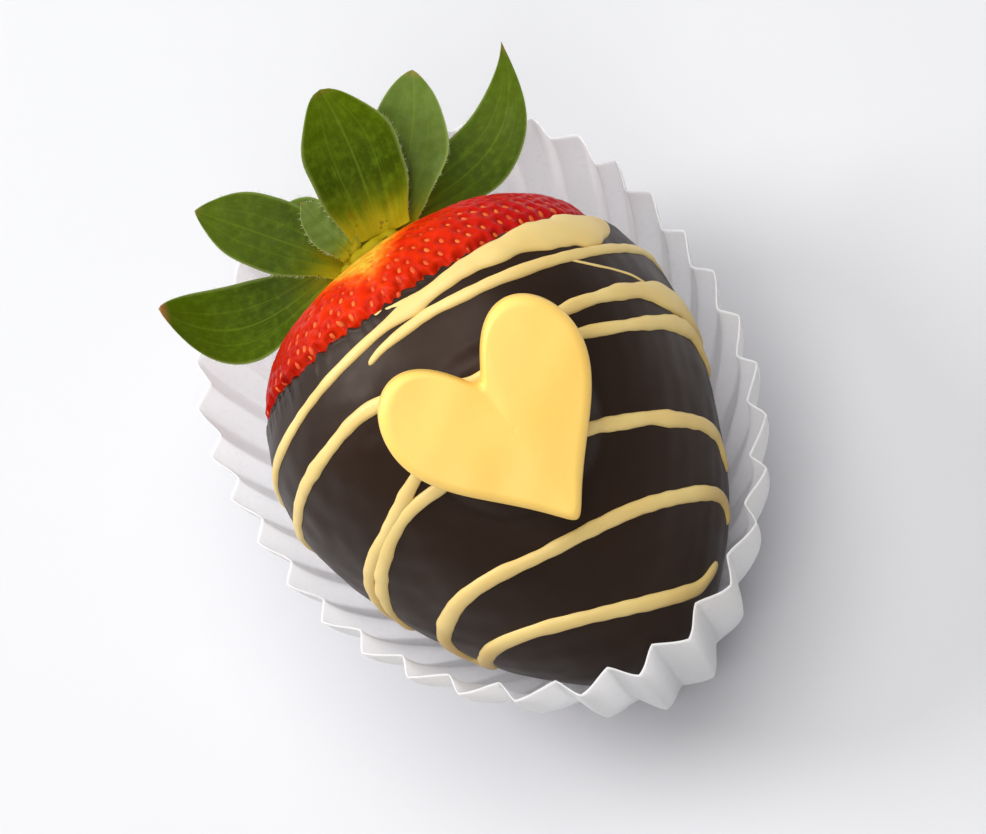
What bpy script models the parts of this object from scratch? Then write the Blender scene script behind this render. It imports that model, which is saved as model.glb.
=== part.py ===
"""A chocolate-dipped strawberry lying on its side in a fluted paper case.

Metres, +Z up. The origin is the middle of the case's flat base, on its
underside. The berry's tip points to -Y and its leaves to +Y.
"""

import math

import bmesh
import bpy
import numpy as np

MM = 0.001
GAP = 0.3 * MM  # air kept between pieces that touch

# The berry, measured over its coat. Its axis runs from the tip up to the leaves.
WIDEST_RADIUS = 21.5 * MM
TIP_LENGTH = 31.0 * MM  # from the widest section to the tip
SHOULDER_LENGTH = 18.0 * MM  # from the widest section to the crown of the shoulder
TILT = math.radians(21)  # it lies on its cone, so the leaves end stands higher
WIDEST_CENTRE = np.array([0.0, -0.3, 21.9]) * MM
TIP_POWER = 1.59  # how soon the cone falls away from the widest section
TIP_FULLNESS = 0.6  # 0.5 is a round end, 1 a sharp one
SHOULDER_POWER = 2.1
SHOULDER_FULLNESS = 0.42

# The coat, and the flesh inside it
COAT_THICKNESS = 1.5 * MM
SIDES = 44  # facets round both of them
FLESH_SHOULDER_POWER = 2.8  # squarer than the coat, which thins towards its edge
DIP_LINE = 10.0 * MM  # the coat's edge, from the widest section
DIP_SLANT = 1.0 * MM  # the edge is this much further back on the left, and less on the right
DIP_DROP = (0.5 * MM, 1.4 * MM)  # it ends sooner at both flanks, by their sum on the right
LIP = 0.4 * MM  # how far the rounded edge stands past the last full section

# The moulded heart
HEART_WIDTH = 20.9 * MM
HEART_HEIGHT = 20.6 * MM
HEART_THICKNESS = 3.6 * MM
HEART_EDGE = 0.9 * MM  # radius of its rounded rim
HEART_DOME = 0.25 * MM
HEART_SEAT = math.radians(-12)  # where it sits on the berry, as a profile angle
HEART_ASIDE = 0.8 * MM
DAB_RADIUS = 6.5 * MM  # the chocolate that it was pressed into
DAB_RUN_OUT = 0.35  # share of that radius over which the dab meets the coat

# The leaves
COLLAR_RADIUS = 3.8 * MM
BLADE_ROOT = 3.0 * MM  # where the blades leave the collar, out from its middle
COLLAR_THICKNESS = 1.2 * MM
BLADE_THICKNESS = 0.6 * MM
BLADE_CUP = 0.22  # how far its edges stand up, as a share of half its width
STEM_RADIUS = 1.3 * MM
STEM_LENGTH = 5.0 * MM

# The paper case: a round cup squeezed to an egg shape by the berry
PAPER = 0.4 * MM
CASE_HEIGHT = 20.2 * MM
BASE_HALF_WIDTH = 15.5 * MM
BASE_FRONT = 23.5 * MM
BASE_BACK = 20.5 * MM
BASE_POWERS = (1.8, 2.2)  # front and back: 2 is an ellipse, more is squarer
RIM_HALF_WIDTH = 24.7 * MM
RIM_FRONT = 31.9 * MM
RIM_BACK = 32.0 * MM
RIM_POWERS = (1.95, 2.8)
FLUTES = 33
FIRST_FOLD = -0.09  # the inner fold at the tip's end stands that share of a flute to the left
FLUTE_DEPTH = 1.7 * MM
TIP_DEPTH = 0.3  # how much deeper, as a share, the flutes are at the tip
FLUTE_LEAN = 0.22  # how far the outer folds lean towards the back along the sides, as a share of a flute
LEAN_GROWS = (0.6, 3)  # between these counts of flutes from the tip
LEAN_FADES = (10, 14)
CASE_BULGE = 1.5  # 1 is a straight wall; more swells low down
TIP_BULGE = 2.0  # added where the berry's tip pushes the front out
TIP_BULGE_REACH = 8 * MM

SIDE = np.array([1.0, 0.0, 0.0])
AXIS = np.array([0.0, math.cos(TILT), math.sin(TILT)])
CREST = np.array([0.0, -math.sin(TILT), math.cos(TILT)])
FOOT_LEVEL = PAPER + GAP  # the coat set flat on its underside at this height


def clear_scene():
    for old in list(bpy.data.objects):
        bpy.data.objects.remove(old, do_unlink=True)


def material(name, colour, roughness):
    made = bpy.data.materials.new(name)
    made.use_nodes = True
    shader = made.node_tree.nodes["Principled BSDF"]
    shader.inputs["Base Color"].default_value = (*colour, 1.0)
    shader.inputs["Roughness"].default_value = roughness
    shader.inputs["Metallic"].default_value = 0.0
    return made


def loft(name, start, rings, end, finish):
    """A closed skin from a start point over rings of equal count to an end point."""
    count = len(rings[0])
    points = np.vstack([[start], *rings, [end]])
    faces = []
    for i in range(count):
        j = (i + 1) % count
        faces.append((0, 1 + i, 1 + j))
        for ring in range(len(rings) - 1):
            low = 1 + ring * count
            faces.append((low + i, low + count + i, low + count + j, low + j))
        last = 1 + (len(rings) - 1) * count
        faces.append((len(points) - 1, last + j, last + i))
    mesh = bpy.data.meshes.new(name)
    mesh.from_pydata(points.tolist(), [], faces)
    edit = bmesh.new()
    edit.from_mesh(mesh)
    bmesh.ops.recalc_face_normals(edit, faces=edit.faces)
    edit.to_mesh(mesh)
    edit.free()
    mesh.shade_smooth()
    mesh.set_sharp_from_angle(angle=math.radians(50))
    mesh.materials.append(finish)
    made = bpy.data.objects.new(name, mesh)
    bpy.context.scene.collection.objects.link(made)
    return made


# The berry's forms: the coat's outside, its inside and the flesh share one profile


def profile(angle, radius, tip_length, shoulder_length, shoulder_power):
    """(along, out) of a berry form: -90 degrees is the tip, 90 the shoulder's crown."""
    share = np.abs(np.sin(angle))
    to_tip = np.asarray(angle) < 0
    length = np.where(to_tip, -tip_length, shoulder_length)
    power = np.where(to_tip, TIP_POWER, shoulder_power)
    fullness = np.where(to_tip, TIP_FULLNESS, SHOULDER_FULLNESS)
    return length * share, radius * (1 - share**power).clip(0) ** fullness


def coat_outside(angle):
    return profile(angle, WIDEST_RADIUS, TIP_LENGTH, SHOULDER_LENGTH, SHOULDER_POWER)


def flesh(angle, clearance=0.0):
    inset = COAT_THICKNESS + GAP - clearance
    return profile(
        angle,
        WIDEST_RADIUS - inset,
        TIP_LENGTH - inset,
        SHOULDER_LENGTH + clearance,
        FLESH_SHOULDER_POWER,
    )


def around(count):
    """Angles round the axis, 0 at the crest and a quarter turn on the +X side."""
    return np.arange(count) * math.tau / count


def lumps(turn):
    """A real berry isn't quite round."""
    return 1 + 0.008 * np.cos(2 * turn + 0.6) + 0.006 * np.cos(3 * turn - 1.1)


def berry_points(along, out, turn):
    """Points at this distance along the axis and out from it."""
    out = out * lumps(turn)
    across = np.outer(out * np.sin(turn), SIDE)
    upward = np.outer(out * np.cos(turn), CREST)
    return WIDEST_CENTRE + np.outer(along * np.ones_like(turn), AXIS) + across + upward


def dip_edge(turn):
    """How far back the coat reaches on each side."""
    sideways = np.sin(turn)
    uneven, even = DIP_DROP
    return DIP_LINE - DIP_SLANT * sideways - uneven * sideways**9 - even * sideways**10


def angle_at(along, shoulder_length):
    return np.arcsin(along / shoulder_length)


def heart_frame():
    """(seat, across, up, out) of the heart: its seat is a point of the coat's crest."""
    step = 0.01
    along, out = coat_outside(np.array([HEART_SEAT - step, HEART_SEAT, HEART_SEAT + step]))
    run = (along[2] - along[0]) * AXIS + (out[2] - out[0]) * CREST
    up = run / np.linalg.norm(run)
    seat = berry_points(along[1], out[1], np.zeros(1))[0] + HEART_ASIDE * SIDE
    return seat, SIDE, up, np.cross(SIDE, up)


def pressed_dab(points):
    """Raises the coat to the heart's flat back, so that the heart sits in chocolate."""
    seat, across, up, out = heart_frame()
    away = points - seat
    distance = np.hypot(away @ across, away @ up)
    hold = ((1 - distance / DAB_RADIUS) / DAB_RUN_OUT + 1).clip(0, 1)
    hold = hold * (away @ out > -0.3 * WIDEST_RADIUS)
    lift = -(away @ out) * hold * hold * (3 - 2 * hold)
    return points + np.outer(lift.clip(0), out)


def set_on_foot(points):
    """The coat's underside set flat while it was soft."""
    points[:, 2] = points[:, 2].clip(FOOT_LEVEL)
    return points


def make_coat(finish):
    turn = around(SIDES)
    rings = []
    for share in np.linspace(0.06, 1, 18):
        sweep = -math.pi / 2 + share * (angle_at(dip_edge(turn), SHOULDER_LENGTH) + math.pi / 2)
        along, out = coat_outside(sweep)
        rings.append(set_on_foot(pressed_dab(berry_points(along, out, turn))))
    inner_crown = SHOULDER_LENGTH + GAP
    edge = angle_at(dip_edge(turn), inner_crown)
    outer_edge = coat_outside(angle_at(dip_edge(turn), SHOULDER_LENGTH))[1]
    inner_edge = flesh(edge, GAP)[1]
    out_of_edge = inner_edge + 0.3 * (outer_edge - inner_edge)
    rings.append(berry_points(dip_edge(turn) + LIP, out_of_edge, turn))
    for share in np.linspace(1, 0.1, 12):
        along, out = flesh(-math.pi / 2 + share * (edge + math.pi / 2), GAP)
        rings.append(berry_points(along, out, turn))
    tip = WIDEST_CENTRE - TIP_LENGTH * AXIS
    hollow = WIDEST_CENTRE - (TIP_LENGTH - COAT_THICKNESS) * AXIS
    return loft("chocolate_coat", tip, rings, hollow, finish)


def make_strawberry(finish):
    turn = around(SIDES)
    rings = [berry_points(*flesh(angle), turn) for angle in np.radians(np.linspace(-82, 84, 20))]
    tip = WIDEST_CENTRE - (TIP_LENGTH - COAT_THICKNESS - GAP) * AXIS
    crown = WIDEST_CENTRE + SHOULDER_LENGTH * AXIS
    return loft("strawberry", tip, rings, crown, finish)


# The heart: rings of one outline, drawn in towards its middle to round the rim


def heart_outline(count):
    """Two lobes over a point: a cosine series up and a sharpened sine across."""
    turn = np.arange(count) * math.tau / count
    across = 0.3 * np.sin(turn) + 0.7 * np.sin(turn) ** 3
    up = 13 * np.cos(turn) - 5 * np.cos(2 * turn) - 2 * np.cos(3 * turn) - np.cos(4 * turn)
    across = across / np.ptp(across) * HEART_WIDTH
    up = (up - (up.max() + up.min()) / 2) / np.ptp(up) * HEART_HEIGHT
    return across, up


def make_heart(finish):
    seat, across, up, out = heart_frame()
    wide, tall = heart_outline(56)
    reach = np.hypot(wide, tall)

    def ring(inset, height):
        keep = (1 - inset / reach)[:, None]
        flat = keep * (np.outer(wide, across) + np.outer(tall, up))
        return seat + flat + (GAP + height) * out

    quarter = np.radians([0, 30, 60, 90])
    rings = [ring(0.3 * MM, 0.0), ring(0.0, 0.3 * MM)]
    for turn in quarter:
        inset = HEART_EDGE * (1 - math.cos(turn))
        rings.append(ring(inset, HEART_THICKNESS - HEART_EDGE * (1 - math.sin(turn))))
    rings.append(ring(0.5 * reach, HEART_THICKNESS + 0.75 * HEART_DOME))
    back = seat + GAP * out
    face = seat + (GAP + HEART_THICKNESS + HEART_DOME) * out
    return loft("heart", back, rings, face, finish)


# The leaf crown: a collar with a stub of stem, and pointed blades that leave it

# For each blade: its plan angle from +Y towards +X and its rise above level (degrees), its length and
# width (mm), how far its middle bows up and swings across, as shares of its length, where along it is
# widest, how wide its root is as a share of that, and how its end narrows: 0.5 is blunt, 1 is sharp.
MAIN_LEAVES = (
    (-70, 12, 18.4, 9.0, -0.22, -0.1, 0.64, 0.33, 0.75),
    (-41, 30, 15.3, 7.8, 0.0, 0.0, 0.54, 0.5, 0.72),
    (16, 38, 15.0, 9.6, 0.0, 0.03, 0.5, 0.66, 0.6),
    (50, 28, 15.4, 8.6, 0.0, 0.05, 0.55, 0.5, 0.76),
    (68, 12, 20.8, 7.9, -0.2, 0.12, 0.42, 0.33, 0.9),
)
HIDDEN_LEAVES = (
    (-24, -8, 13.0, 8.0, 0.08, 0.0, 0.5, 0.6, 0.8),
    (8, -16, 12.5, 8.4, 0.08, 0.0, 0.5, 0.6, 0.8),
    (34, -10, 13.0, 7.6, 0.08, 0.0, 0.5, 0.6, 0.8),
    (-62, -26, 12.0, 7.4, 0.12, 0.0, 0.5, 0.4, 0.8),
    (64, -28, 12.0, 7.4, 0.12, 0.0, 0.5, 0.4, 0.8),
)
SMALL_LEAVES = (
    (-11, 34, 7.0, 4.0, 0.0, 0.0, 0.5, 0.6, 0.8),
    (36, 30, 9.6, 3.6, 0.0, 0.0, 0.5, 0.6, 0.8),
)


COLLAR_CENTRE = WIDEST_CENTRE + (SHOULDER_LENGTH + GAP + COLLAR_THICKNESS) * AXIS


def blade_half_width(share, width, widest, root, end):
    """A quarter sine out to the end, and a softer one that draws in towards the root."""
    outer = math.sin(math.pi / 2 * min((1 - share) / (1 - widest), 1)) ** end
    inner = root + (1 - root) * math.sin(math.pi / 2 * min(share / widest, 1)) ** 1.4
    return width / 2 * outer * inner


def make_blade(name, plan, rise, length, width, bow, swing, widest, root, end, finish):
    plan, rise, length, width = math.radians(plan), math.radians(rise), length * MM, width * MM
    run = np.array([math.sin(plan) * math.cos(rise), math.cos(plan) * math.cos(rise), math.sin(rise)])
    across = np.array([math.cos(plan), -math.sin(plan), 0.0])
    face = np.cross(across, run)
    radial = run - (run @ AXIS) * AXIS
    start = COLLAR_CENTRE + BLADE_ROOT * radial / np.linalg.norm(radial)
    upper = np.array([-1.0, -0.5, 0.0, 0.5, 1.0])
    lower = np.array([0.5, 0.0, -0.5])
    spread = np.concatenate([upper, lower])
    depth = np.concatenate([0 * upper, BLADE_THICKNESS * np.sqrt(1 - (lower / 1.2) ** 2)])
    rings = []
    for share in (0.0, 0.16, 0.33, 0.5, 0.68, 0.84, 0.96):
        half = blade_half_width(share, width, widest, root, end)
        arch = 5.38 * length * share**1.5 * (1 - share)  # its length at 0.6 of the way out
        middle = start + share * length * run + arch * (bow * face + swing * across)
        cupped = BLADE_CUP * half * spread**2 - depth * (1 - 0.5 * share)
        rings.append(middle + np.outer(half * spread, across) + np.outer(cupped, face))
    root_point = start - 0.5 * MM * run - 0.5 * BLADE_THICKNESS * face
    return loft(name, root_point, rings, start + length * run, finish)


def make_collar(finish):
    """A low disc on the crown of the shoulder, with a stub of stem at its middle."""
    turn = around(20)
    steps = (
        (0.0, 0.5 * COLLAR_RADIUS),
        (0.0, COLLAR_RADIUS),
        (0.6 * COLLAR_THICKNESS, COLLAR_RADIUS),
        (COLLAR_THICKNESS, 0.8 * COLLAR_RADIUS),
        (COLLAR_THICKNESS + 0.4 * MM, STEM_RADIUS + 0.7 * MM),
        (COLLAR_THICKNESS + 1.2 * MM, STEM_RADIUS),
        (COLLAR_THICKNESS + STEM_LENGTH, STEM_RADIUS),
    )
    foot = SHOULDER_LENGTH + GAP
    rings = [berry_points(foot + along, out, turn) for along, out in steps]
    start = WIDEST_CENTRE + foot * AXIS
    end = WIDEST_CENTRE + (foot + COLLAR_THICKNESS + STEM_LENGTH) * AXIS
    return loft("leaf_crown", start, rings, end, finish)


def make_leaf_crown(finish):
    crown = make_collar(finish)
    for number, leaf in enumerate(MAIN_LEAVES + HIDDEN_LEAVES + SMALL_LEAVES):
        blade = make_blade(f"blade_{number}", *leaf, finish)
        blade.hide_render = True
        blade.display_type = "WIRE"
        join = crown.modifiers.new(blade.name, "BOOLEAN")
        join.operation = "UNION"
        join.solver = "EXACT"
        join.object = blade
    return crown


# The paper case


def egg_outline(half_width, front, back, front_power, back_power, places):
    """Points of an egg of two half superellipses at shares of the way round it, and their normals."""
    turn = np.linspace(0, math.tau, 1441) - math.pi / 2
    ahead = np.sin(turn) < 0
    power = 2 / np.where(ahead, front_power, back_power)
    reach = np.where(ahead, front, back)
    x = half_width * np.sign(np.cos(turn)) * np.abs(np.cos(turn)) ** power
    y = reach * np.sign(np.sin(turn)) * np.abs(np.sin(turn)) ** power
    run = np.concatenate([[0], np.cumsum(np.hypot(np.diff(x), np.diff(y)))])
    run = run / run[-1]

    def at(share):
        return np.stack([np.interp(share, run, x, period=1), np.interp(share, run, y, period=1)], axis=1)

    along = at(places + 0.5 / FLUTES) - at(places - 0.5 / FLUTES)
    normals = np.stack([along[:, 1], -along[:, 0]], axis=1)
    return at(places), normals / np.linalg.norm(normals, axis=1)[:, None]


def ramp(value, low, high):
    return ((value - low) / (high - low)).clip(0, 1)


def flute_places():
    """Four places a flute, counted round from the tip: inner fold, flank, outer fold, flank."""
    number = np.repeat(np.arange(FLUTES), 4)
    from_tip = np.minimum(number + 0.5, FLUTES - number - 0.5)
    lean = FLUTE_LEAN * ramp(from_tip, *LEAN_GROWS) * (1 - ramp(from_tip, *LEAN_FADES))
    outer_fold = 0.5 + np.where(number < FLUTES / 2, lean, -lean)
    places = np.zeros(4 * FLUTES)
    places[1::4] = outer_fold[1::4] / 2
    places[2::4] = outer_fold[2::4]
    places[3::4] = (1 + outer_fold[3::4]) / 2
    return (number + places + FIRST_FOLD) / FLUTES


def make_case(finish):
    places = flute_places()
    base, _ = egg_outline(BASE_HALF_WIDTH, BASE_FRONT, BASE_BACK, *BASE_POWERS, places)
    rim, normals = egg_outline(RIM_HALF_WIDTH, RIM_FRONT, RIM_BACK, *RIM_POWERS, places)
    at_tip = np.exp(-((rim[:, 0] / TIP_BULGE_REACH) ** 2)) * (rim[:, 1] < 0)
    wave = np.tile([-1.0, 0.0, 1.0, 0.0], FLUTES) * (1 + TIP_DEPTH * at_tip)

    def ring(share, inward, level):
        swell = (1 - (1 - share) ** (CASE_BULGE + TIP_BULGE * at_tip))[:, None]
        pleat = FLUTE_DEPTH / 2 * min(1.0, 0.3 + 1.6 * share)
        flat = base + (rim - base) * swell + normals * (wave * pleat - inward)[:, None]
        return np.column_stack([flat, np.full(len(places), level)])

    shares = (0.0, 0.16, 0.5, 1.0)  # of the wall's height
    rings = [ring(share, 0.0, CASE_HEIGHT * share) for share in shares]
    rings += [ring(share, PAPER, max(PAPER, CASE_HEIGHT * share)) for share in reversed(shares)]
    underside = np.zeros(3)
    floor = np.array([0.0, 0.0, PAPER])
    return loft("paper_case", underside, rings, floor, finish)


def main():
    clear_scene()
    make_case(material("white paper", (0.83, 0.79, 0.80), 0.7))
    make_strawberry(material("strawberry flesh", (0.75, 0.04, 0.02), 0.35))
    make_coat(material("dark chocolate", (0.030, 0.014, 0.010), 0.35))
    make_heart(material("yellow chocolate", (0.93, 0.66, 0.17), 0.4))
    make_leaf_crown(material("leaf green", (0.10, 0.18, 0.015), 0.5))


main()
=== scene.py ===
import math

import bpy
import numpy as np
from mathutils import Matrix


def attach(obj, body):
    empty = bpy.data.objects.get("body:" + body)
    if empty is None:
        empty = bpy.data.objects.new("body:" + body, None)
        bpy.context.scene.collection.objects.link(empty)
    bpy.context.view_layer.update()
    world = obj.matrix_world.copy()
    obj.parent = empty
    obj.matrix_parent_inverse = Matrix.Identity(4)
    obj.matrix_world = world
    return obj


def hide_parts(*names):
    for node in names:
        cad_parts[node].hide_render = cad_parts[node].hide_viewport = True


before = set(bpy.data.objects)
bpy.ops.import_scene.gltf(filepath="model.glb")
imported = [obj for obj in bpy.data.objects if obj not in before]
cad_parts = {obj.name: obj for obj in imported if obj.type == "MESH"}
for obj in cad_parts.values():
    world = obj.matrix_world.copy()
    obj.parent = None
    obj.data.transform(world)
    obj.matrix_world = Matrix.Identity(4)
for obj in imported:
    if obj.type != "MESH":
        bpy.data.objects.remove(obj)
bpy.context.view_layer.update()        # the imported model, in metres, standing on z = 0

mm = 0.001
print("frame loaded:", sorted(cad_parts))


# Small helpers for shapes

def unit(vectors):
    return vectors / np.linalg.norm(vectors, axis=-1, keepdims=True)


def smooth(value, low, high):
    # 0 below low and 1 above high, with the S-curve 3t^2 - 2t^3 between them
    t = np.clip((value - low) / (high - low), 0, 1)
    return t * t * (3 - 2 * t)


def waviness(points, size, seed, waves=7):
    # a sum of sine waves of about that length, in seeded directions, about 1 high
    draw = np.random.default_rng(seed)
    heading = unit(draw.normal(size=(waves, points.shape[-1])))
    pace = math.tau / size * draw.uniform(0.7, 1.4, waves)
    start = draw.uniform(0, math.tau, waves)
    return np.sin(points @ (heading * pace[:, None]).T + start).sum(axis=-1) / math.sqrt(waves)


def curveThrough(stops, count):
    # a cubic through the stops: Hermite pieces paced by distance, with slopes read from the neighbours
    stops = np.asarray(stops, float)
    steps = np.linalg.norm(np.diff(stops[:, :2], axis=0), axis=1)
    pace = np.concatenate([[0], np.cumsum(steps)])
    slopes = np.gradient(stops, pace, axis=0)
    where = np.linspace(0, pace[-1], count)
    cell = np.clip(np.searchsorted(pace, where, side="right") - 1, 0, len(stops) - 2)
    step = (pace[cell + 1] - pace[cell])[:, None]
    t = (where - pace[cell])[:, None] / step
    fromLast = (2 * t**3 - 3 * t**2 + 1) * stops[cell] + (t**3 - 2 * t**2 + t) * step * slopes[cell]
    toNext = (3 * t**2 - 2 * t**3) * stops[cell + 1] + (t**3 - t**2) * step * slopes[cell + 1]
    return fromLast + toNext


def loft(rings, start, end):
    # one closed body: rings of equal count from a start point to an end point. Points, faces
    rows, columns = rings.shape[:2]
    first = np.arange(columns)
    after = (first + 1) % columns
    low = 1 + np.arange(rows - 1)[:, None] * columns
    quads = np.stack([low + first, low + after, low + columns + after, low + columns + first], axis=-1)
    last = 1 + (rows - 1) * columns
    startCap = np.stack([0 * first, 1 + after, 1 + first], axis=-1)
    endCap = np.stack([0 * first + rows * columns + 1, last + first, last + after], axis=-1)
    points = np.vstack([[start], rings.reshape(-1, 3), [end]])
    return points, [*quads.reshape(-1, 4).tolist(), *startCap.tolist(), *endCap.tolist()]


def loftValues(values, start, end):
    return np.concatenate([[start], np.asarray(values, float).ravel(), [end]])


def makePiece(name, bodies, finish, replaced=(), values=None):
    # joins closed bodies into one smooth piece whose faces point outwards, with its named values per point
    points, faces = [], []
    count = 0
    for bodyPoints, bodyFaces in bodies:
        corners = np.array([face[:3] for face in bodyFaces])
        fourth = np.array([face[-1] for face in bodyFaces])
        middle = bodyPoints.mean(axis=0)
        a, b, c = (bodyPoints[corners[:, k]] - middle for k in range(3))
        d = bodyPoints[fourth] - middle
        volume = (np.cross(a, b) * c).sum() + (np.cross(a, c) * d).sum()
        turned = [face[::-1] for face in bodyFaces] if volume < 0 else bodyFaces
        faces += [[corner + count for corner in face] for face in turned]
        points.append(bodyPoints)
        count += len(bodyPoints)
    mesh = bpy.data.meshes.new(name)
    mesh.from_pydata(np.vstack(points).tolist(), [], faces)
    for label, numbers in (values or {}).items():
        mesh.attributes.new(label, "FLOAT", "POINT").data.foreach_set("value", np.float32(numbers))
    mesh.shade_smooth()
    mesh.materials.append(finish)
    piece = bpy.data.objects.new(name, mesh)
    bpy.context.scene.collection.objects.link(piece)
    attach(piece, "root")
    if replaced:
        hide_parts(*replaced)
    print(name, "made:", len(mesh.polygons), "faces")
    return piece


# Small helpers for materials

def paint(code):
    # a colour written as on a paint card, RRGGBB, turned into the renderer's linear values
    parts = np.array([int(code[k:k + 2], 16) / 255 for k in (0, 2, 4)])
    linear = np.where(parts <= 0.04045, parts / 12.92, ((parts + 0.055) / 1.055) ** 2.4)
    return (*linear.tolist(), 1.0)


def addNode(finish, kind, inputs, **settings):
    # a shader node: an input that is given a socket is linked to it, any other gets its value
    node = finish.node_tree.nodes.new("ShaderNode" + kind)
    for setting, value in settings.items():
        setattr(node, setting, value)
    for key, value in inputs.items():
        if isinstance(value, bpy.types.NodeSocket):
            finish.node_tree.links.new(value, node.inputs[key])
        else:
            node.inputs[key].default_value = value
    return node


def newFinish(name, sockets):
    finish = bpy.data.materials.new(name)
    finish.use_nodes = True
    for key, value in sockets.items():
        shaderOf(finish).inputs[key].default_value = value
    return finish


def shaderOf(finish):
    return finish.node_tree.nodes["Principled BSDF"]


def wire(finish, socket, key):
    finish.node_tree.links.new(socket, shaderOf(finish).inputs[key])


def place(finish):
    return addNode(finish, "TexCoord", {}).outputs["Object"]


def valueOf(finish, label):
    return addNode(finish, "Attribute", {}, attribute_name=label).outputs["Fac"]


def calc(finish, operation, first, second=0.0):
    return addNode(finish, "Math", {0: first, 1: second}, operation=operation).outputs[0]


def span(finish, value, low, high, toLow=0.0, toHigh=1.0):
    node = addNode(finish, "MapRange", {0: value, 1: low, 2: high, 3: toLow, 4: toHigh})
    node.interpolation_type = "SMOOTHSTEP"
    return node.outputs[0]


def noise(finish, size, detail=2.0):
    # noise whose features are about that many metres across
    node = addNode(finish, "TexNoise", {"Vector": place(finish), "Scale": 1 / size, "Detail": detail})
    return node.outputs[0]


def grain(finish, parts):
    # noise over a place put together from the piece's own values
    where = addNode(finish, "CombineXYZ", parts).outputs[0]
    return addNode(finish, "TexNoise", {"Vector": where, "Scale": 1.0, "Detail": 2.0}).outputs[0]


def mix(finish, share, first, second):
    return addNode(finish, "Mix", {0: share, 6: first, 7: second}, data_type="RGBA").outputs[2]


def bump(finish, height, depth, under=None):
    # depth is the real height in metres between 0 and 1 of the height that is given
    inputs = {"Height": height, "Distance": depth, "Strength": 1.0}
    if under is not None:
        inputs["Normal"] = under
    return addNode(finish, "Bump", inputs).outputs["Normal"]


# The berry's shape, measured over its coat, as in the solid model

berry = {
    "tilt": math.radians(21),
    "centre": np.array([0.0, -0.3, 21.9]) * mm,
    "gap": 0.3 * mm,  # air kept between the crown of the shoulder and the leaves
    "foot": 0.5 * mm,  # the coat set flat on its underside at this height
    "coat": {
        "radius": 21.5 * mm, "tipLength": 31 * mm, "shoulderLength": 18 * mm,
        "tipPower": 1.59, "tipFullness": 0.6, "shoulderPower": 2.1, "shoulderFullness": 0.42,
    },
    "flesh": {
        "radius": 19.7 * mm, "tipLength": 29.2 * mm, "shoulderLength": 18.3 * mm,
        "tipPower": 1.59, "tipFullness": 0.6, "shoulderPower": 3.5, "shoulderFullness": 0.42,
    },
}
side = np.array([1.0, 0.0, 0.0])
axis = np.array([0.0, math.cos(berry["tilt"]), math.sin(berry["tilt"])])
crest = np.array([0.0, -math.sin(berry["tilt"]), math.cos(berry["tilt"])])


def radiusAt(along, form):
    # radius * (1 - |along / length| ^ power) ^ fullness, one set for the tip and one for the shoulder
    toTip = along < 0
    share = np.abs(along) / np.where(toTip, form["tipLength"], form["shoulderLength"])
    power = np.where(toTip, form["tipPower"], form["shoulderPower"])
    fullness = np.where(toTip, form["tipFullness"], form["shoulderFullness"])
    return form["radius"] * np.clip(1 - share**power, 0, 1) ** fullness


def berryPoint(along, out, turn):
    # centre + along * axis + out * (sin turn * side + cos turn * crest), with out a little uneven
    out = out * (1 + 0.008 * np.cos(2 * turn + 0.6) + 0.006 * np.cos(3 * turn - 1.1))
    return (
        berry["centre"]
        + along[..., None] * axis
        + (out * np.sin(turn))[..., None] * side
        + (out * np.cos(turn))[..., None] * crest
    )


# The heart, and the dab of chocolate that holds it

heart = {
    "width": 20.9 * mm,
    "height": 20.6 * mm,
    "thickness": 3.88 * mm,  # from the dab's flat top
    "sunk": 0.12 * mm,
    "edge": 1.15 * mm,
    "dome": 0.25 * mm,
    "seatAlong": -6.45 * mm,
    "aside": 0.8 * mm,
    "dab": 6.5 * mm,
    "dabRunOut": 0.35,
}


def heartFrame():
    # the seat on the coat's crest, and the directions across, up and out from there
    along = heart["seatAlong"] + np.array([-0.1, 0.0, 0.1]) * mm
    crestLine = berryPoint(along, radiusAt(along, berry["coat"]), 0 * along)
    up = unit(crestLine[2] - crestLine[0])
    return crestLine[1] + heart["aside"] * side, side, up, np.cross(side, up)


def pressedDab(points):
    # lifts the coat to the heart's flat back, and lets that die away round the dab
    seat, across, up, out = heartFrame()
    away = points - seat
    distance = np.hypot(away @ across, away @ up)
    hold = smooth(1 + (1 - distance / heart["dab"]) / heart["dabRunOut"], 0, 1)
    near = away @ out > -0.3 * berry["coat"]["radius"]
    lift = np.clip(-(away @ out) * hold * near, 0, None)
    return points + lift[..., None] * out


def coatPoint(along, turn, raised=0.0):
    # the coat's outside at that distance along the axis and that angle round it
    uneven = berryPoint(along, radiusAt(along, berry["coat"]), turn)
    ripple = 0.09 * mm * waviness(uneven, 11 * mm, 3) + 0.025 * mm * waviness(uneven, 3.2 * mm, 4)
    outside = berryPoint(along, radiusAt(along, berry["coat"]) + ripple + raised, turn)
    return pressedDab(outside)


def coatOutward(along, turn):
    step = 0.2 * mm
    lengthwise = coatPoint(along + step, turn) - coatPoint(along - step, turn)
    roundabout = coatPoint(along, turn + 0.01) - coatPoint(along, turn - 0.01)
    return unit(np.cross(roundabout, lengthwise))


# The dark chocolate coat

coat = {
    "thickness": 1.4 * mm,
    "dipLine": 10.0 * mm,  # how far back it reaches from the widest section
    "slant": (1.0 * mm, 0.5 * mm, 1.4 * mm),  # shares of the sine, its ninth power and its tenth
    "teeth": 0.16 * mm,  # the edge is frayed by the seeds under it
    "rim": 0.18 * mm,  # how far the edge stands out, and over what width
    "rimWidth": 0.9 * mm,
    "turns": 360,
    "rows": 170,
}


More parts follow.
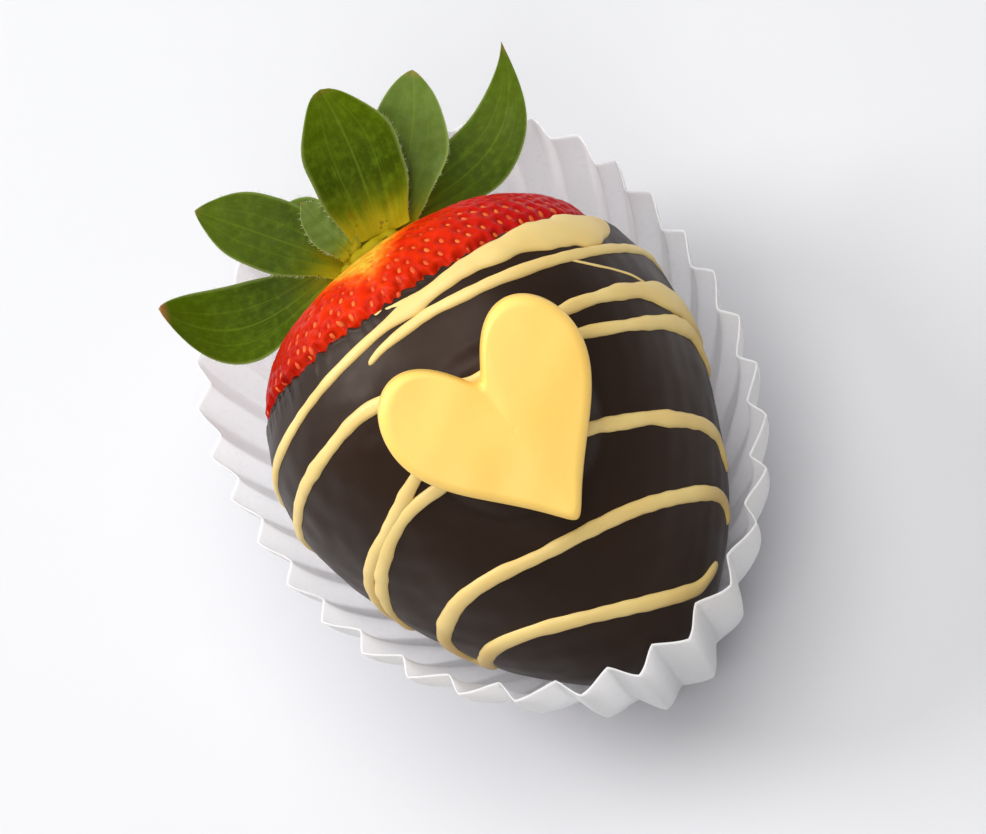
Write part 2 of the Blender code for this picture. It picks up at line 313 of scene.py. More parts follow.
def dipEdge(turn):
    # dipLine - a sin turn - b sin^9 turn - c sin^10 turn, with a fray of three uneven waves
    fray = np.sin(83 * turn + 2 * np.sin(5 * turn)) + np.sin(53 * turn + 1.0) + 0.8 * np.sin(127 * turn + 2.0)
    sway = 0.12 * mm * np.sin(11 * turn + 0.5)
    first, ninth, tenth = coat["slant"]
    lean = first * np.sin(turn) + ninth * np.sin(turn) ** 9 + tenth * np.sin(turn) ** 10
    return coat["dipLine"] - lean + sway + coat["teeth"] * fray


def chocolateFinish():
    finish = newFinish("dark chocolate", {
        "Specular IOR Level": 0.5, "IOR": 1.31, "Specular Tint": (1.0, 0.84, 0.76, 1.0),
    })
    cloud = noise(finish, 9 * mm, 3.0)
    wire(finish, mix(finish, cloud, paint("1D1109"), paint("291A10")), "Base Color")
    wire(finish, span(finish, noise(finish, 4 * mm, 4.0), 0.3, 0.7, 0.38, 0.48), "Roughness")
    skin = bump(finish, noise(finish, 1.6 * mm, 3.0), 0.02 * mm)
    wire(finish, bump(finish, noise(finish, 0.25 * mm, 2.0), 0.006 * mm, skin), "Normal")
    return finish


def makeCoat():
    turn = np.arange(coat["turns"]) * math.tau / coat["turns"]
    form = berry["coat"]
    edgeAngle = np.arcsin(dipEdge(turn) / form["shoulderLength"])
    share = np.linspace(0.01, 1, coat["rows"])[:, None]  # from the tip to the edge
    sweep = -math.pi / 2 + share * (edgeAngle + math.pi / 2)
    along = np.where(sweep < 0, form["tipLength"], form["shoulderLength"]) * np.sin(sweep)
    swell = coat["rim"] * np.exp(-(((dipEdge(turn) - along) / coat["rimWidth"]) ** 2))
    outside = coatPoint(along, turn + 0 * along, swell)
    outside[..., 2] = np.maximum(outside[..., 2], berry["foot"])
    # the rounded lip: a half circle from the outside to the inside, over the edge
    bend = np.radians(np.linspace(20, 180, 9))[:, None]
    radius = radiusAt(dipEdge(turn), form)
    half = coat["thickness"] / 2
    lipAlong = dipEdge(turn) + 0.55 * half * np.sin(bend)
    lip = berryPoint(lipAlong, radius + coat["rim"] - half + half * np.cos(bend), turn + 0 * lipAlong)
    inward = np.linspace(1, 0.04, 30)[:, None]
    sweep = -math.pi / 2 + inward * (edgeAngle + math.pi / 2)
    along = np.where(sweep < 0, form["tipLength"] - coat["thickness"], form["shoulderLength"]) * np.sin(sweep)
    thin = {**form, **{key: form[key] - coat["thickness"] for key in ("radius", "tipLength")}}
    inside = berryPoint(along, radiusAt(along, thin), turn + 0 * along)
    start = berry["centre"] - form["tipLength"] * axis
    end = berry["centre"] - (form["tipLength"] - coat["thickness"]) * axis
    body = loft(np.concatenate([outside, lip, inside]), start, end)
    return makePiece("coat_of_chocolate", [body], chocolateFinish(), ["chocolate_coat"])


makeCoat()


# The drizzle: beads laid over the coat, each through its stops of (turn in degrees, distance along, width)

drizzle = {
    "height": 0.8 * mm,  # of a very wide bead; a narrow one is lower, as its width over fullAt tells
    "fullAt": 1.1 * mm,
    "sunk": 0.16 * mm,
    "sides": 18,
    "step": 0.35 * mm,
    "beads": [
        [(-112, 2.4, 0.9), (-90, 4.8, 1.1), (-71, 6.3, 1.2), (-59, 6.9, 1.2), (-47, 7.5, 1.2),
         (-37, 7.9, 1.2), (-20, 8.4, 1.2), (-9, 8.6, 1.4), (0, 8.6, 2.2), (8, 8.7, 1.9), (18, 8.8, 2.3),
         (28, 8.5, 2.8), (37, 8.3, 3.3), (44, 7.8, 4.2), (51, 7.3, 4.9), (58, 6.9, 4.8), (65, 6.8, 3.9),
         (71, 6.8, 2.6), (76, 6.8, 1.4)],
        [(-14, 10.3, 0.35), (-8, 10.1, 0.5), (-3, 9.6, 0.7), (2, 9.2, 0.8)],
        [(-19, 6.5, 0.6), (-14, 6.9, 0.9), (-9, 7.0, 1.1), (-3, 7.0, 1.3), (2, 7.0, 1.4), (8, 6.7, 1.3),
         (13, 6.4, 1.3), (21, 6.0, 1.3), (29, 5.5, 1.4), (36, 5.1, 1.4), (42, 4.7, 1.4), (51, 4.2, 1.3),
         (60, 3.8, 1.3), (72, 3.3, 1.2), (82, 2.9, 1.1), (94, 1.6, 1.0), (108, 0.0, 0.8)],
        [(43, 4.4, 0.4), (48, 3.0, 0.4), (54, 1.7, 0.4), (60, 0.5, 0.4), (65, -0.9, 0.4)],
        [(-108, -2.0, 1.0), (-86, 0.3, 1.3), (-73, 1.2, 1.4), (-62, 2.0, 1.4), (-44, 2.8, 1.4),
         (-25, 3.1, 1.4), (-10, 1.2, 1.4), (0, -0.8, 1.3), (15, -0.8, 1.3), (31, 0.0, 1.4),
         (46, -0.6, 1.6), (56, -1.1, 1.9), (65, -1.9, 2.5), (74, -2.9, 3.2), (82, -4.0, 3.0),
         (88, -5.4, 2.2), (95, -7.2, 1.2)],
        [(-104, -12.2, 1.0), (-83, -9.5, 1.3), (-70, -8.1, 1.4), (-60, -7.3, 1.4), (-46, -6.5, 1.4),
         (-35, -5.6, 1.4), (-22, -4.3, 1.4), (0, -2.8, 1.3), (15, -2.2, 1.3), (28, -2.4, 1.3),
         (43, -3.7, 1.4), (51, -4.3, 1.5), (62, -4.9, 1.7), (73, -5.6, 2.0), (81, -6.4, 2.0),
         (87, -8.2, 1.4), (93, -10.2, 0.9)],
        [(-98, -12.8, 1.0), (-77, -10.3, 1.4), (-64, -8.9, 1.6), (-53, -7.8, 1.6), (-44, -7.0, 1.5),
         (-35, -6.6, 1.4), (-21, -6.9, 1.3), (0, -8.4, 1.3), (20, -10.4, 1.4), (33, -11.7, 1.5),
         (41, -12.4, 1.5), (49, -13.3, 1.6), (58, -14.1, 1.6), (70, -15.1, 1.6), (77, -15.9, 1.4),
         (83, -17.4, 1.1), (88, -18.8, 0.7)],
        [(86, -23.0, 0.8), (81, -21.7, 1.2), (74, -20.9, 1.5), (60, -20.2, 1.6), (42, -19.5, 1.6),
         (25, -18.7, 1.6), (5, -17.9, 1.5), (-14, -17.1, 1.5), (-32, -15.9, 1.6), (-47, -15.4, 1.7),
         (-62, -15.6, 1.7), (-78, -16.2, 1.7), (-90, -17.2, 1.6), (-99, -18.6, 1.5), (-97, -19.7, 1.5),
         (-84, -19.9, 1.6), (-62, -20.2, 1.7), (-43, -21.5, 1.7), (-27, -23.0, 1.7), (-11, -24.4, 1.7),
         (8, -25.7, 1.7), (34, -26.7, 1.6), (50, -26.8, 1.6), (61, -26.3, 1.5), (72, -25.5, 1.0)],
    ],
}


def beadAlong(stops):
    # a ring (cos, sin) carried along the path, flattened on the coat's side, drawn in round at both ends
    path = curveThrough([(turn * 0.35, along, width) for turn, along, width in stops], 400)
    turn, along, width = np.radians(path[:, 0] / 0.35), path[:, 1] * mm, path[:, 2] * mm
    run = np.concatenate([[0], np.cumsum(np.linalg.norm(np.diff(coatPoint(along, turn), axis=0), axis=1))])
    count = int(run[-1] / drizzle["step"])
    even = np.linspace(0, run[-1], count)
    turn, along, width = (np.interp(even, run, line) for line in (turn, along, width))
    middle = coatPoint(along, turn)
    out = coatOutward(along, turn)
    ahead = unit(np.gradient(middle, axis=0))
    across = unit(np.cross(out, ahead))
    width = width * (1 + 0.07 * waviness(middle, 5 * mm, 21) + 0.05 * waviness(middle, 2 * mm, 22))
    toEnd = np.minimum(even, run[-1] - even)
    taper = np.sqrt(np.clip(1 - (1 - np.clip(toEnd / width, 0, 1)) ** 2, 0.01, 1))
    bend = np.arange(drizzle["sides"]) * math.tau / drizzle["sides"]
    half = (width * taper / 2)[:, None]
    tall = drizzle["height"] * (1 - np.exp(-2 * half / drizzle["fullAt"]))
    lift = np.where(np.sin(bend) > 0, np.abs(np.sin(bend)) ** 0.85, -0.25) * tall
    flat = half * np.sign(np.cos(bend)) * np.abs(np.cos(bend)) ** 0.9
    raised = lift - drizzle["sunk"]
    rings = middle[:, None] + flat[..., None] * across[:, None] + raised[..., None] * out[:, None]
    return loft(rings, rings[0].mean(axis=0), rings[-1].mean(axis=0))


def yellowFinish(name, light, deep, size):
    finish = newFinish(name, {
        "Roughness": 0.42, "IOR": 1.46, "Specular IOR Level": 0.4,
        "Subsurface Weight": 0.06, "Subsurface Scale": 1.0 * mm, "Subsurface Radius": (1.0, 0.55, 0.2),
    })
    wire(finish, mix(finish, noise(finish, size, 2.0), light, deep), "Base Color")
    skin = bump(finish, noise(finish, 1.4 * mm, 2.0), 0.03 * mm)
    wire(finish, bump(finish, noise(finish, 0.3 * mm, 2.0), 0.006 * mm, skin), "Normal")
    return finish


def makeDrizzle():
    finish = yellowFinish("drizzled yellow chocolate", paint("EAD28A"), paint("D6B266"), 6 * mm)
    beads = [beadAlong(stops) for stops in drizzle["beads"]]
    return makePiece("drizzle", beads, finish)


makeDrizzle()


def heartOutline(count):
    # up = 13 cos - 5 cos 2t - 2 cos 3t - cos 4t over across = 0.3 sin + 0.7 sin^3: two lobes over a point
    turn = np.arange(count) * math.tau / count
    across = 0.3 * np.sin(turn) + 0.7 * np.sin(turn) ** 3
    up = 13 * np.cos(turn) - 5 * np.cos(2 * turn) - 2 * np.cos(3 * turn) - np.cos(4 * turn)
    across = across / np.ptp(across) * heart["width"]
    up = (up - (up.max() + up.min()) / 2) / np.ptp(up) * heart["height"]
    return across, up


def makeHeart():
    seat, across, up, out = heartFrame()
    wide, tall = heartOutline(180)
    reach = np.hypot(wide, tall)

    def ring(inset, level):
        # the outline drawn in towards the middle by inset, at that level over the dab
        keep = (1 - inset / reach)[:, None]
        flat = seat + keep * (wide[:, None] * across + tall[:, None] * up)
        dent = 0.06 * mm * waviness(flat, 7 * mm, 31) * smooth(level, 0, heart["thickness"])
        return flat + (level + dent)[:, None] * out

    top = heart["thickness"]
    rings = [ring(0.25 * mm, -heart["sunk"]), ring(0.05 * mm, 0.1 * mm), ring(0.0, 0.35 * mm)]
    rings += [ring(0.0, level) for level in np.linspace(0.6 * mm, top - heart["edge"], 4)]
    for bend in np.radians(np.linspace(10, 90, 9)):
        rings.append(ring(heart["edge"] * (1 - math.cos(bend)), top - heart["edge"] * (1 - math.sin(bend))))
    for share in np.linspace(0.2, 0.97, 14):
        level = top + heart["dome"] * (1 - (1 - share) ** 2)
        rings.append(ring(heart["edge"] + share * (reach - heart["edge"]), level))
    end = seat + (top + heart["dome"]) * out
    body = loft(np.array(rings), seat - heart["sunk"] * out, end)
    finish = yellowFinish("moulded yellow chocolate", paint("FCD677"), paint("F2C052"), 12 * mm)
    return makePiece("moulded_heart", [body], finish, ["heart"])


makeHeart()


# The bare flesh, its pits and its seeds

flesh = {
    "turns": 560,
    "rows": 120,
    "bareFrom": 5.5 * mm,  # the band that shows starts under the coat's edge
    "step": 0.5 * mm,
    "swellOver": 1.8 * mm,
    "pitWidth": 0.66 * mm,
    "pitDepth": 0.38 * mm,
    "seeded": (6 * mm, 17.8 * mm),  # along the axis
    "seedPitch": 1.75 * mm,
    "rowPitch": 1.5 * mm,
    "seedLength": 0.95 * mm,
    "seedWidth": 0.54 * mm,
    "seedHeight": 0.42 * mm,
    # the pale flesh by the calyx: a ring at the top, and a wedge that comes down the crest from it
    "paleRing": (16.8 * mm, 18.1 * mm),
    "wedge": {"aside": -1.1 * mm, "tip": 13.6 * mm, "flare": 1.35, "edge": (-3.2 * mm, 3.4 * mm)},
}


def seedPlaces():
    # staggered rows round the shoulder, a little out of place: (along, turn) of each
    draw = np.random.default_rng(11)
    along = np.linspace(0, berry["flesh"]["shoulderLength"], 400)
    out = radiusAt(along, berry["flesh"])
    run = np.concatenate([[0], np.cumsum(np.hypot(np.diff(along), np.diff(out)))])
    first, last = (run[np.searchsorted(along, level)] for level in flesh["seeded"])
    rows = np.arange(first, last, flesh["rowPitch"])
    places = []
    for number, where in enumerate(rows):
        rowAlong, rowOut = np.interp(where, run, along), np.interp(where, run, out)
        count = round(math.tau * rowOut / flesh["seedPitch"])
        pitch = math.tau / count
        turn = (np.arange(count) + 0.5 * (number % 2)) * pitch + draw.normal(0, 0.16, count) * pitch
        places.append(np.stack([rowAlong + draw.normal(0, 0.13 * mm, count), turn], axis=1))
    return np.vstack(places)


def nearestSeed(points, seeds):
    # distance from each point to the nearest seed, worked out in blocks of rows
    blocks = np.array_split(points, 60)
    return np.concatenate([np.linalg.norm(block[:, None] - seeds, axis=-1).min(axis=1) for block in blocks])


def fleshPoint(along, turn):
    # a step below the coat's outside as far as its edge, and from there swelling out to its own form
    own = radiusAt(along, berry["flesh"])
    under = np.minimum(own, radiusAt(along, berry["coat"]) - flesh["step"])
    free = smooth(along - dipEdge(turn), 0, flesh["swellOver"])
    reach = (1 - free) * under + free * own
    plain = berryPoint(along, reach, turn)
    return berryPoint(along, reach + 0.12 * mm * waviness(plain, 8 * mm, 41) * free, turn)


def fleshFinish():
    finish = newFinish("strawberry flesh", {
        "Roughness": 0.34, "IOR": 1.4, "Specular IOR Level": 0.07,
        "Subsurface Weight": 0.15, "Subsurface Scale": 1.2 * mm, "Subsurface Radius": (1.0, 0.2, 0.08),
    })
    crown, pit = valueOf(finish, "crown"), valueOf(finish, "pit")
    split = addNode(finish, "SeparateXYZ", {0: place(finish)})
    # painted shade: the red is darkened towards both sides of the berry, to crimson on the right and to a
    # deeper red on the left
    rightShade = span(finish, split.outputs[0], 2 * mm, 16 * mm)
    leftShade = span(finish, split.outputs[0], -16 * mm, -5 * mm, 0.9, 0.0)
    red = mix(finish, noise(finish, 2.2 * mm, 3.0), paint("B80E00"), paint("E03602"))
    red = mix(finish, rightShade, red, paint("B40C12"))
    red = mix(finish, leftShade, red, paint("980800"))
    burst = calc(finish, "ADD", crown, span(finish, noise(finish, 1.1 * mm, 3.0), 0.25, 0.75, -0.16, 0.16))
    warm = mix(finish, span(finish, burst, 0.08, 0.6), red, paint("EA5408"))
    warm = mix(finish, span(finish, burst, 0.46, 1.1), warm, paint("D2A62C"))
    # painted shade: the seed pits are darkened, less so on the pale flesh by the calyx
    shade = calc(finish, "MULTIPLY", pit, span(finish, crown, 0.2, 0.9, 0.55, 0.12))
    wire(finish, mix(finish, shade, warm, paint("8E0A06")), "Base Color")
    wire(finish, bump(finish, noise(finish, 0.45 * mm, 2.0), 0.02 * mm), "Normal")
    return finish


def seedFinish():
    finish = newFinish("strawberry seeds", {"Roughness": 0.4, "Specular IOR Level": 0.2})
    tone = valueOf(finish, "tone")
    wire(finish, mix(finish, tone, paint("DE6C28"), paint("C83A12")), "Base Color")
    return finish


def makeFlesh():
    places = seedPlaces()
    seeds = fleshPoint(places[:, 0], places[:, 1])
    turn = np.arange(flesh["turns"]) * math.tau / flesh["turns"]
    length = berry["flesh"]["shoulderLength"]
    hidden = [*(np.linspace(-0.995, 0.0, 26) * berry["flesh"]["tipLength"]), 2 * mm, 4 * mm]
    sweep = np.linspace(math.asin(flesh["bareFrom"] / length), math.radians(88), flesh["rows"])
    along = np.concatenate([hidden, length * np.sin(sweep)])[:, None]
    rings = fleshPoint(along + 0 * turn, turn + 0 * along)
    bare = len(hidden)
    away = nearestSeed(rings[bare:].reshape(-1, 3), seeds)
    pit = np.zeros(rings.shape[:2])
    pit[bare:] = np.exp(-((away / flesh["pitWidth"]) ** 2)).reshape(-1, len(turn))
    middleLine = berry["centre"] + along[..., None] * axis
    outward = unit(rings - middleLine + 1e-9) * 0.8 + 0.3 * axis
    rings = rings - (flesh["pitDepth"] * pit)[..., None] * unit(outward)
    across = radiusAt(along, berry["flesh"]) * np.sin(turn) - flesh["wedge"]["aside"]
    wedge = flesh["wedge"]["flare"] * (along - flesh["wedge"]["tip"]) - np.abs(across)
    wedge = smooth(wedge, *flesh["wedge"]["edge"]) * (np.cos(turn) > 0)
    crown = np.maximum(wedge, smooth(along + 0 * turn, *flesh["paleRing"]))
    start = berry["centre"] - berry["flesh"]["tipLength"] * axis
    end = berry["centre"] + length * axis
    values = {"pit": loftValues(pit, 0, 0), "crown": loftValues(crown, 0, 1)}
    body = loft(rings, start, end)
    piece = makePiece("flesh", [body], fleshFinish(), ["strawberry"], values)
    makeSeeds(places)
    return piece


def makeSeeds(places):
    # teardrops: a ring (cos, sin) scaled by sin(t)^0.8 along the length, pointed towards the calyx
    draw = np.random.default_rng(12)
    bend = np.arange(8) * math.tau / 8
    share = np.radians(np.array([18, 50, 85, 120, 155]))
    bodies, tones = [], []
    along, turn = places.T
    step = 0.2 * mm
    middle = fleshPoint(along, turn)
    ahead = unit(fleshPoint(along + step, turn) - fleshPoint(along - step, turn))
    across = unit(fleshPoint(along, turn + 0.01) - fleshPoint(along, turn - 0.01))
    out = unit(np.cross(across, ahead))
    for spot, a, c, o in zip(middle, ahead, across, out):
        size = draw.uniform(0.8, 1.12)
        swing = draw.normal(0, 0.2)
        run = math.cos(swing) * a + math.sin(swing) * c
        wide = np.cross(o, run)
        seat = spot - (flesh["pitDepth"] + 0.02 * mm) * o
        thick = np.sin(share)[:, None] ** 0.8
        rings = (
            seat
            - (np.cos(share)[:, None] * size * flesh["seedLength"] / 2 + 0 * bend)[..., None] * run
            + (thick * np.cos(bend) * size * flesh["seedWidth"] / 2)[..., None] * wide
            + (thick * np.sin(bend) * size * flesh["seedHeight"] / 2)[..., None] * o
        )
        reach = size * flesh["seedLength"] / 2 * run
        bodies.append(loft(rings, seat - reach, seat + 1.15 * reach))
        tones.append(np.full(len(bodies[-1][0]), draw.uniform(0, 1)))
    values = {"tone": np.concatenate(tones)}
    return makePiece("seeds", bodies, seedFinish(), (), values)


makeFlesh()


# The leaf crown

leaves = {
    "collarRadius": 3.8 * mm,
    "root": 3.0 * mm,  # where the blades leave the collar
    "collarThickness": 1.2 * mm,
    "bladeThickness": 0.34 * mm,
    "cup": 0.2,
    "stemRadius": 1.3 * mm,
    "stemLength": 5 * mm,
    "rows": 56,
    "columns": 25,
    # plan angle from +Y towards +X, rise (degrees), length, width (mm), bow, swing, widest place, root share,
    # tip shape, paleness, dry tip
    "main": [
        (-70, 12, 18.4, 9.0, -0.22, -0.1, 0.64, 0.33, 0.75, 0.05, 0.7),
        (-41, 30, 15.3, 7.8, 0.0, 0.0, 0.54, 0.5, 0.72, 0.25, 0.12),
        (16, 38, 15.0, 9.6, 0.0, 0.03, 0.5, 0.66, 0.6, 0.0, 0.1),
        (50, 28, 15.4, 8.6, 0.0, 0.05, 0.55, 0.5, 0.76, 0.75, 0.25),
        (68, 12, 20.8, 7.9, -0.2, 0.12, 0.42, 0.33, 0.9, 0.2, 0.3),
    ],
    "hidden": [
        (-24, -8, 13.0, 8.0, 0.08, 0.0, 0.5, 0.6, 0.8, 0.3, 0.4),
        (8, -16, 12.5, 8.4, 0.08, 0.0, 0.5, 0.6, 0.8, 0.2, 0.2),
        (34, -10, 13.0, 7.6, 0.08, 0.0, 0.5, 0.6, 0.8, 0.4, 0.6),
        (-62, -26, 12.0, 7.4, 0.12, 0.0, 0.5, 0.4, 0.8, 0.2, 0.3),
        (64, -28, 12.0, 7.4, 0.12, 0.0, 0.5, 0.4, 0.8, 0.2, 0.8),
    ],
    "small": [
        (-11, 34, 7.0, 4.0, 0.0, 0.0, 0.5, 0.6, 0.8, 1.0, 0.2),
        (36, 30, 9.6, 3.6, 0.0, 0.0, 0.5, 0.6, 0.8, 0.9, 0.2),
    ],
    "hairsPerMm": 7,  # down both margins
    "hairLength": 0.55 * mm,
    "hairRadius": 0.022 * mm,
}
collarFoot = berry["coat"]["shoulderLength"] + berry["gap"]
collarCentre = berry["centre"] + (collarFoot + leaves["collarThickness"]) * axis


def bladeFrame(leaf):
    # where the blade starts, and its directions along, across and out of its face
    plan, rise = math.radians(leaf[0]), math.radians(leaf[1])
    run = np.array([math.sin(plan) * math.cos(rise), math.cos(plan) * math.cos(rise), math.sin(rise)])
    across = np.array([math.cos(plan), -math.sin(plan), 0.0])
    start = collarCentre + leaves["root"] * unit(run - (run @ axis) * axis)
    return start, run, across, np.cross(across, run)


def bladeMiddle(leaf, number, u, v):
    # middle line + v * half width * across + cup * v^2 * face, creased at its nerves
    # u runs out to the tip, and v from margin to margin; arch is highest at u = 0.6, where it is the length
    start, run, across, face = bladeFrame(leaf)
    length, width, bow, swing, widest, root, tip = leaf[2] * mm, leaf[3] * mm, *leaf[4:9]
    # half width: a sine's quarter out to the tip, and a softer one that only draws in to its root share
    outer = np.sin(math.pi / 2 * np.clip((1 - u) / (1 - widest), 0, 1)) ** tip
    inner = root + (1 - root) * np.sin(math.pi / 2 * np.clip(u / widest, 0, 1)) ** 1.4
    half = width / 2 * outer * inner
    ruffle = 0.012 * width * np.sin(5 * u * math.pi + 2 * number) * v**2 * np.sign(v)
    arch = 5.38 * length * u**1.5 * (1 - u)
    middle = start + (u * length)[..., None] * run + arch[..., None] * (bow * face + swing * across)
    nerve = np.abs(v)
    crease = 0.16 * np.exp(-((nerve / 0.09) ** 2)) + 0.05 * np.exp(-(((nerve - 0.42) / 0.07) ** 2))
    wrinkle = 0.05 * np.sin(math.tau * (5.5 * u - 0.8 * nerve) + number) * np.sin(math.pi * nerve)
    level = leaves["cup"] * half * v**2 + (wrinkle - crease * (1 - 0.7 * u)) * mm - 0.3 * mm
    return middle + (half * v + ruffle)[..., None] * across + level[..., None] * face


def bladeBody(leaf, number):
    # out over the face and back under it, thinned to the margins and the tip
    start, run, across, face = bladeFrame(leaf)
    u = np.linspace(0, 0.985, leaves["rows"])[:, None]
    v = np.sin(np.linspace(-math.pi / 2, math.pi / 2, leaves["columns"]))
    v = np.concatenate([v, v[-2:0:-1]])
    upper = np.concatenate([np.ones(leaves["columns"]), -np.ones(leaves["columns"] - 2)])
    edge = np.sqrt(np.clip(1 - np.abs(v) ** 3, 0, 1))
    thick = upper * leaves["bladeThickness"] / 2 * edge * (1.15 - 0.5 * u)
    rings = bladeMiddle(leaf, number, u + 0 * v, v + 0 * u) + thick[..., None] * face
    length = leaf[2] * mm
    blade = loft(rings, start - 0.4 * mm * run - 0.3 * mm * face, start + length * run - 0.26 * mm * face)
    values = {
        "leafAlong": loftValues(u + 0 * v, 0, 1),
        "leafAcross": loftValues(v + 0 * u, 0, 0),
        "leafPale": np.full(len(blade[0]), leaf[9]),
        "leafDry": np.full(len(blade[0]), leaf[10]),
        "leafUnder": loftValues((upper < 0) + 0 * u, 0, 0),
    }
    return blade, values


def makeHairs(table):
    # fine hairs: thin spikes that leave both margins outwards and lean to the tip
    draw = np.random.default_rng(61)
    bodies = []
    turn = np.arange(3) * math.tau / 3
    for number, leaf in enumerate(table):
        face = bladeFrame(leaf)[3]
        count = int(leaves["hairsPerMm"] * leaf[2])
        u = draw.uniform(0.04, 0.97, count)
        v = np.where(draw.uniform(size=count) < 0.5, -1.0, 1.0)
        foot = bladeMiddle(leaf, number, u, 0.985 * v)
        outward = unit(foot - bladeMiddle(leaf, number, u, 0.8 * v))
        ahead = unit(bladeMiddle(leaf, number, u + 0.01, v) - bladeMiddle(leaf, number, u - 0.01, v))
        lean = unit(outward + 0.7 * ahead + 0.25 * draw.normal(size=(count, 3)))
        long = leaves["hairLength"] * draw.uniform(0.5, 1.2, count) * (0.5 + 0.5 * np.sin(math.pi * u))
        for spot, way, reach in zip(foot, lean, long):
            one = unit(np.cross(way, face))
            two = np.cross(way, one)
            ring = spot + leaves["hairRadius"] * (np.cos(turn)[:, None] * one + np.sin(turn)[:, None] * two)
            bodies.append(loft(ring[None], spot - 0.1 * mm * way, spot + reach * way))
    finish = newFinish("leaf hairs", {"Roughness": 0.6, "Specular IOR Level": 0.3})
    wire(finish, mix(finish, noise(finish, 2 * mm), paint("B7C08E"), paint("D6D8B8")), "Base Color")
    return makePiece("leaf_hairs", bodies, finish)


def leafFinish():
    finish = newFinish("strawberry leaf", {
        "Specular IOR Level": 0.04,
        "Subsurface Weight": 0.06, "Subsurface Scale": 0.8 * mm, "Subsurface Radius": (0.5, 1.0, 0.1),
    })
    along, across = valueOf(finish, "leafAlong"), calc(finish, "ABSOLUTE", valueOf(finish, "leafAcross"))
    pale, under, dry = valueOf(finish, "leafPale"), valueOf(finish, "leafUnder"), valueOf(finish, "leafDry")
    green = mix(finish, noise(finish, 3.5 * mm, 3.0), paint("283600"), paint("3A4A00"))
    green = mix(finish, span(finish, along, 0.35, 1.0, 0.0, 0.6), green, paint("526400"))
    # the paler grey-green laid on as far as each leaf's paleness: partly the sepals' own paler colour, partly
    # a painted sheen
    paleTintAndSheen = mix(finish, noise(finish, 1.2 * mm, 3.0), paint("4E621A"), paint("708448"))
    mottle = span(finish, noise(finish, 0.8 * mm, 4.0), 0.4, 0.75, 0.0, 0.4)
    green = mix(finish, mottle, green, paint("58720E"))
    green = mix(finish, calc(finish, "MULTIPLY", pale, 0.85), green, paleTintAndSheen)
    # long nerves from root to tip, and fine streaks between them
    fine, slow = calc(finish, "MULTIPLY", across, 26.0), calc(finish, "MULTIPLY", along, 3.0)
    streaks = grain(finish, {0: fine, 1: slow})
    green = mix(finish, span(finish, streaks, 0.45, 0.8, 0.0, 0.13), green, paint("728A1E"))
    fromNerve = calc(finish, "ABSOLUTE", calc(finish, "SUBTRACT", across, 0.42))
    outerNerve = span(finish, fromNerve, 0.0, 0.04, 0.14, 0.0)
    midrib = span(finish, across, 0.0, 0.05, 0.24, 0.0)
    green = mix(finish, calc(finish, "MAXIMUM", outerNerve, midrib), green, paint("768E22"))
    green = mix(finish, span(finish, across, 0.9, 1.0, 0.0, 0.4), green, paint("96A25E"))
    green = mix(finish, calc(finish, "MULTIPLY", under, 0.5), green, paint("8FA06A"))
    streak = grain(finish, {0: calc(finish, "MULTIPLY", across, 5.0), 1: along, 2: pale})
    ragged = calc(finish, "ADD", along, span(finish, streak, 0.25, 0.75, -0.04, 0.04))
    green = mix(finish, span(finish, ragged, 0.0, 0.42, 0.7, 0.0), green, paint("6E7604"))
    green = mix(finish, span(finish, ragged, -0.04, 0.24, 1.0, 0.0), green, paint("9C8810"))
    spots = span(finish, noise(finish, 0.9 * mm), 0.62, 0.68)
    nearRoot = span(finish, along, 0.1, 0.25, 0.7, 0.0)
    green = mix(finish, calc(finish, "MULTIPLY", spots, nearRoot), green, paint("6A4C08"))
    tip = calc(finish, "MULTIPLY", span(finish, along, 0.94, 0.99), dry)
    wire(finish, mix(finish, tip, green, paint("B4764A")), "Base Color")
    wire(finish, span(finish, noise(finish, 2 * mm), 0.3, 0.7, 0.42, 0.56), "Roughness")
    skin = bump(finish, noise(finish, 1.1 * mm, 3.0), 0.06 * mm)
    wire(finish, bump(finish, noise(finish, 0.3 * mm, 2.0), 0.03 * mm, skin), "Normal")
    return finish


def collarBody():
    # rings of a low turned disc with a stub of stem at its middle
    turn = np.arange(64) * math.tau / 64
    thick, reach, stem = leaves["collarThickness"], leaves["collarRadius"], leaves["stemRadius"]
    profile = np.array([
        (-0.3 * mm, 0.4 * reach), (-0.3 * mm, 0.95 * reach), (0.1 * thick, 1.04 * reach),
        (0.55 * thick, reach), (0.9 * thick, 0.86 * reach), (1.05 * thick, 0.6 * reach),
        (1.15 * thick, stem + 0.5 * mm), (1.6 * thick, stem + 0.1 * mm), (2.4 * thick, stem),
        (thick + leaves["stemLength"], stem), (thick + leaves["stemLength"] + 0.1 * mm, 0.6 * stem),
    ])
    along = collarFoot + profile[:, :1] + 0 * turn
    out = profile[:, 1:] * (1 + 0.05 * np.sin(10 * turn) * (profile[:, 1:] > stem * 1.5))
    rings = berryPoint(along, out, turn + 0 * along)
    start = berry["centre"] + (collarFoot - 0.3 * mm) * axis
    end = berry["centre"] + (collarFoot + thick + leaves["stemLength"] + 0.1 * mm) * axis
    body = loft(rings, start, end)
    green = loftValues(smooth(along, collarFoot + 1.4 * thick, collarFoot + 3 * thick) * 0.45, 0, 0.45)
    plain = {"leafAcross": 0.3, "leafPale": 0.4, "leafDry": 0.0, "leafUnder": 0.0}
    values = {label: np.full(len(body[0]), value) for label, value in plain.items()}
    return body, {"leafAlong": green, **values}


def makeLeafCrown():
    table = leaves["main"] + leaves["hidden"] + leaves["small"]
    made = [collarBody(), *(bladeBody(leaf, number) for number, leaf in enumerate(table))]
    makeHairs(table)
    values = {label: np.concatenate([part[1][label] for part in made]) for label in made[0][1]}
    return makePiece("leaves", [part[0] for part in made], leafFinish(), ["leaf_crown"], values)


makeLeafCrown()


# The paper case: an egg-shaped cup of fluted paper

